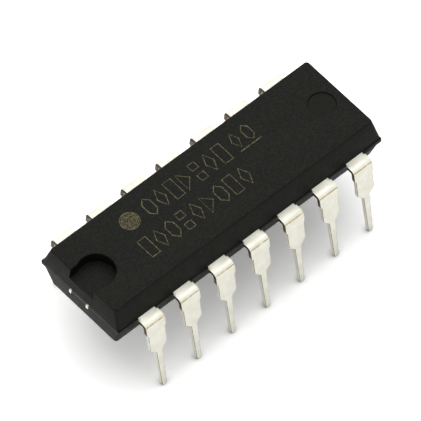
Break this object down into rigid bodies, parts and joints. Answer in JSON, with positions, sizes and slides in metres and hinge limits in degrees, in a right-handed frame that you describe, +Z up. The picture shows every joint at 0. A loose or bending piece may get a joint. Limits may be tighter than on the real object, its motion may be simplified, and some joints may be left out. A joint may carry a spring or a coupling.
{
  "type": "dip integrated circuit chip",
  "caption": "Dual in-line integrated circuit: black moulded epoxy body with an end notch, and two rows of bent, tinned leads that it stands on.",
  "frame": {"origin": "centre of the footprint, on the plane that the lead tips stand on", "axes": "+X along the body away from the notch, +Z up, away from the lead tips"},
  "size_m": [0.0196, 0.0092, 0.0069],
  "materials": {
    "epoxy_moulding": "black filled epoxy, fine matt as moulded",
    "tinned_leads": "matt tin plating on copper alloy",
    "bare_copper": "bare copper alloy sheet",
    "silver_adhesive": "cured silver-filled adhesive",
    "silicon": "polished silicon",
    "gold_wire": "fine drawn gold"
  },
  "bodies": {
    "root": {"encapsulant": "epoxy_moulding", "die_pad": "bare_copper", "die_attach": "silver_adhesive", "silicon_die": "silicon", "lead_1": "tinned_leads", "lead_2": "tinned_leads", "lead_3": "tinned_leads", "lead_4": "tinned_leads", "lead_5": "tinned_leads", "lead_6": "tinned_leads", "lead_7": "tinned_leads", "lead_8": "tinned_leads", "lead_9": "tinned_leads", "lead_10": "tinned_leads", "lead_11": "tinned_leads", "lead_12": "tinned_leads", "lead_13": "tinned_leads", "lead_14": "tinned_leads", "bond_wire_1": "gold_wire", "bond_wire_2": "gold_wire", "bond_wire_3": "gold_wire", "bond_wire_4": "gold_wire", "bond_wire_5": "gold_wire", "bond_wire_6": "gold_wire", "bond_wire_7": "gold_wire", "bond_wire_8": "gold_wire", "bond_wire_9": "gold_wire", "bond_wire_10": "gold_wire", "bond_wire_11": "gold_wire", "bond_wire_12": "gold_wire", "bond_wire_13": "gold_wire", "bond_wire_14": "gold_wire"}
  },
  "joints": []
}
